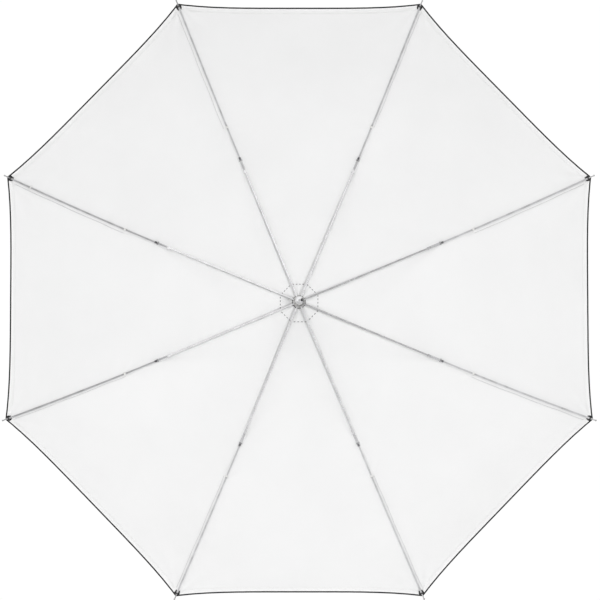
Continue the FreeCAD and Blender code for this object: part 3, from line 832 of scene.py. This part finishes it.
def make_stage():
    """A pale round floor well below the object."""
    level = cad_box[0][2] - FLOOR_DROP
    count = 96
    turns = np.linspace(0.0, 2 * math.pi, count, endpoint=False)
    rim = np.stack((FLOOR_RADIUS * np.cos(turns), FLOOR_RADIUS * np.sin(turns),
                    np.full(count, level)), axis=-1)
    material, tree, shader = new_material("floor_paper", (0.86, 0.86, 0.86), 0.9)
    grain = noise(tree, coordinates(tree, "Object", (1.0, 1.0, 1.0)), 40.0, 4.0)
    tree.links.new(ramp(tree, grain, ((0.3, 0.84), (0.7, 0.88))), shader.inputs["Base Color"])
    make_piece("floor", rim, [tuple(range(count))], material, smooth=False)


def area_light(name, place, target, size, power, **visibility):
    data = bpy.data.lights.new(name, "AREA")
    data.shape = "DISK"
    data.size = size
    data.energy = power
    light = bpy.data.objects.new(name, data)
    light.location = place
    light.rotation_mode = "QUATERNION"
    light.rotation_quaternion = (Vector(target) - Vector(place)).to_track_quat("-Z", "Y")
    for key, value in visibility.items():
        setattr(light, key, value)
    bpy.context.scene.collection.objects.link(light)


def make_world():
    """A surround that the camera sees as white.

    It lights more from above than from below. In reflections its bright side is up and to the
    left, and its dark side is down and to the right.
    """
    world = bpy.data.worlds.new("studio")
    bpy.context.scene.world = world
    world.use_nodes = True
    world.cycles.sampling_method = "NONE"
    tree = world.node_tree
    direction = coordinates(tree, "Generated", (1.0, 1.0, 1.0))
    split = tree.nodes.new("ShaderNodeSeparateXYZ")
    tree.links.new(direction, split.inputs["Vector"])

    def background(color, strength):
        node = tree.nodes.new("ShaderNodeBackground")
        if isinstance(color, tuple):
            node.inputs["Color"].default_value = color
        else:
            tree.links.new(color, node.inputs["Color"])
        node.inputs["Strength"].default_value = strength
        return node.outputs["Background"]

    def choose(ray, otherwise, chosen):
        mix = tree.nodes.new("ShaderNodeMixShader")
        tree.links.new(rays.outputs[ray], mix.inputs["Fac"])
        tree.links.new(otherwise, mix.inputs[1])
        tree.links.new(chosen, mix.inputs[2])
        return mix.outputs["Shader"]

    rays = tree.nodes.new("ShaderNodeLightPath")
    height = blend_values(tree, blend_values(tree, split.outputs["Z"], 0.5), 0.5, "ADD")
    lighting = background(ramp(tree, height, LIGHTING_STOPS), LIGHTING_STRENGTH)
    lean = blend_values(tree, blend_values(tree, split.outputs["Z"], split.outputs["X"], "SUBTRACT"),
                        0.35, "MULTIPLY")
    lean = blend_values(tree, lean, 0.5, "ADD")
    reflected = background(ramp(tree, lean, REFLECTED_STOPS), REFLECTED_STRENGTH)
    backdrop = background((1.0, 1.0, 1.0, 1.0), BACKDROP_STRENGTH)
    shader = choose("Is Camera Ray", choose("Is Glossy Ray", lighting, reflected), backdrop)
    tree.links.new(shader, tree.nodes["World Output"].inputs["Surface"])


def make_lights(camera_place):
    """A wide soft light above the camera, and a small flash just beside it."""
    area_light("front_soft", SOFT_PLACE, LIGHT_TARGET, SOFT_SIZE, SOFT_POWER, visible_glossy=False)
    beside = (camera_place[0] + FLASH_RIGHT, camera_place[1], camera_place[2] + FLASH_UP)
    area_light("flash", beside, LIGHT_TARGET, FLASH_SIZE, FLASH_POWER, visible_glossy=False)


def make_camera():
    """In line with the shaft, a little below it, on the hollow side."""
    rim_level = PIVOT_LEVEL + float(rib_level(CORNER_RADIUS))
    data = bpy.data.cameras.new("camera")
    data.sensor_width = 36.0
    data.lens = data.sensor_width * CAMERA_DISTANCE / FRAME_WIDTH
    camera = bpy.data.objects.new("camera", data)
    camera.location = (CAMERA_OFFSET[0], rim_level - CAMERA_DISTANCE, CAMERA_OFFSET[1])
    aim = Vector((AIM_OFFSET[0], rim_level, AIM_OFFSET[1]))
    camera.rotation_mode = "QUATERNION"
    camera.rotation_quaternion = (aim - camera.location).to_track_quat("-Z", "Y")
    bpy.context.scene.collection.objects.link(camera)
    bpy.context.scene.camera = camera
    bpy.context.scene.view_settings.view_transform = "Standard"
    return camera.location


make_stage()
make_world()
make_lights(make_camera())
